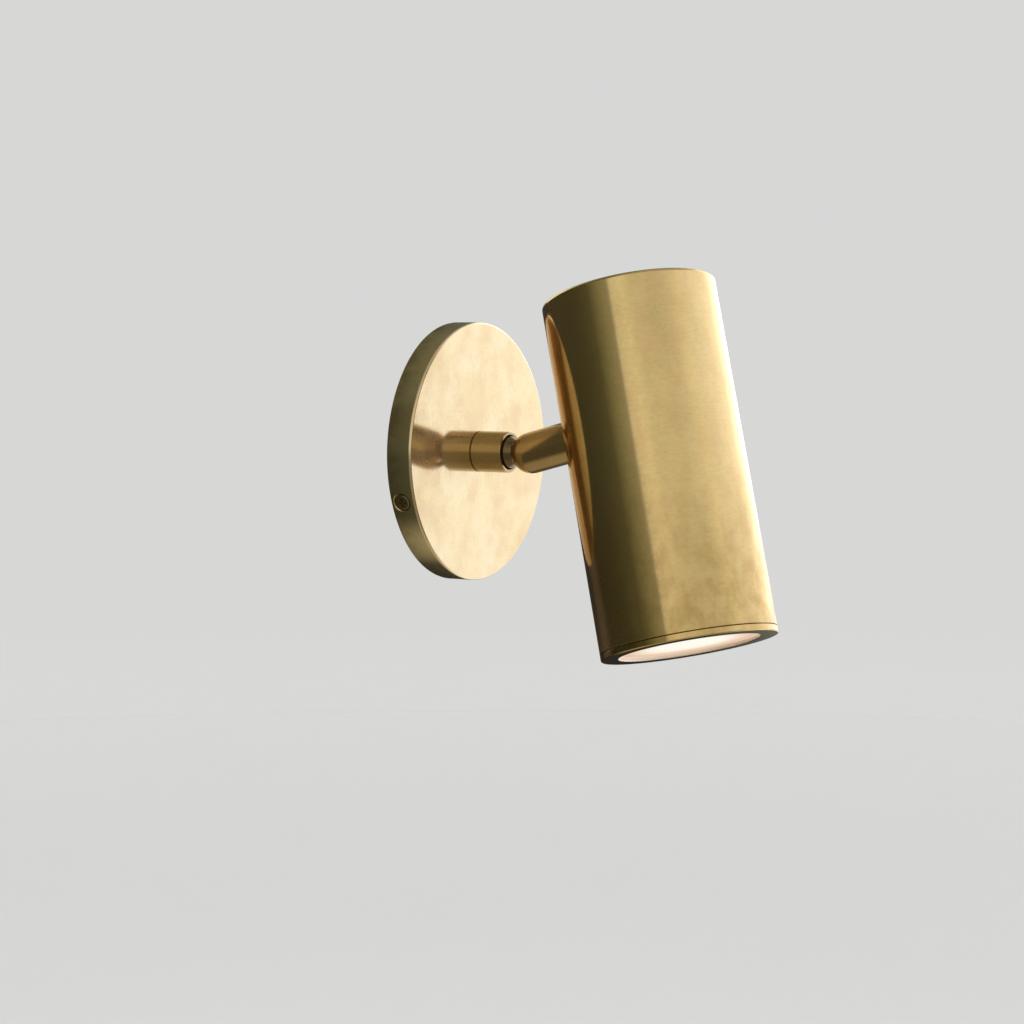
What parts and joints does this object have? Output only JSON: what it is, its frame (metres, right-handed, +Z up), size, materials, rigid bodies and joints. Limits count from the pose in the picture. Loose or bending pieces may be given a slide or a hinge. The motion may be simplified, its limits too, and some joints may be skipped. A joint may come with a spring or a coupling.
{
  "type": "adjustable wall sconce",
  "caption": "Wall sconce with a round backplate, a short arm, a ball swivel and a cylinder shade closed at the top, with a screwed trim ring round its lens.",
  "frame": {"origin": "centre of the backplate's back, on the wall face, where the arm's axis meets it", "axes": "+Y into the wall, along the box screws; +Z up; the lamp stands out along -Y"},
  "size_m": [0.12, 0.1663, 0.1777],
  "materials": {
    "aged_brass": "polished brass, unlacquered, with a mottled brown patina",
    "plain_brass": "turned brass, bright",
    "brass_screw": "brass, slightly dulled",
    "zinc_steel": "zinc-plated steel",
    "bare_steel": "spring and screw steel, oiled",
    "green_screw": "green-dyed earthing screw",
    "nylon": "natural nylon",
    "ceramic": "opaque glazed ceramic",
    "lamp_plastic": "white lamp body",
    "white_enamel": "thin spun aluminium, matt white enamel",
    "frosted_glass": "acid-etched glass",
    "silicone": "pale silicone rubber"
  },
  "bodies": {
    "wall_side": {"backplate": "aged_brass", "mounting_bracket": "zinc_steel", "side_screws": "brass_screw", "ground_screw": "green_screw", "arm_tube": "aged_brass", "arm_plug": "plain_brass", "arm_nipple": "zinc_steel", "arm_lock_washer": "zinc_steel", "arm_nut": "zinc_steel", "stop_pin": "bare_steel"},
    "swivel_stud": {"ball_stud": "plain_brass", "swivel_collar": "aged_brass", "friction_washer": "nylon", "stud_washer": "nylon", "stud_nut": "plain_brass"},
    "friction_cup": {"ball_cup": "nylon", "disc_springs": "bare_steel"},
    "head": {"stem_socket": "aged_brass", "stem_plug": "plain_brass", "stem_nipple": "zinc_steel", "stem_lock_washer": "zinc_steel", "stem_nut": "zinc_steel", "shade": "aged_brass", "holder_bracket": "zinc_steel", "holder_screws": "bare_steel", "lampholder": "ceramic", "lamp": "lamp_plastic", "reflector": "white_enamel"},
    "lens_unit": {"lens": "frosted_glass", "lens_gasket": "silicone"},
    "trim_ring": {"trim_ring": "aged_brass"}
  },
  "joints": [
    {"name": "arm_turn", "type": "hinge", "parent": "wall_side", "child": "swivel_stud", "pos_m": [0, -0.0402, 0], "axis": [0, -1, 0], "range_deg": [-160, 160]},
    {"name": "head_tilt", "type": "hinge", "parent": "swivel_stud", "child": "friction_cup", "pos_m": [0, -0.0402, 0], "axis": [-1, 0, 0], "range_deg": [-37.1, 6.9]},
    {"name": "head_twist", "type": "hinge", "parent": "friction_cup", "child": "head", "pos_m": [0, -0.0402, 0], "axis": [0, -0.9655, 0.2605], "range_deg": [-170, 170]},
    {"name": "ring_draw", "type": "slide", "parent": "head", "child": "lens_unit", "axis": [-0.1253, -0.2585, -0.9579], "range_m": [0, 0.003]},
    {"name": "ring_turn", "type": "hinge", "parent": "lens_unit", "child": "trim_ring", "pos_m": [0, -0.10132, 0.01649], "axis": [-0.1253, -0.2585, -0.9579], "range_deg": [0, 720]}
  ],
  "couplings": [
    {"joint": "ring_draw", "follows": "ring_turn", "m_per_rad": 0.00023873}
  ]
}
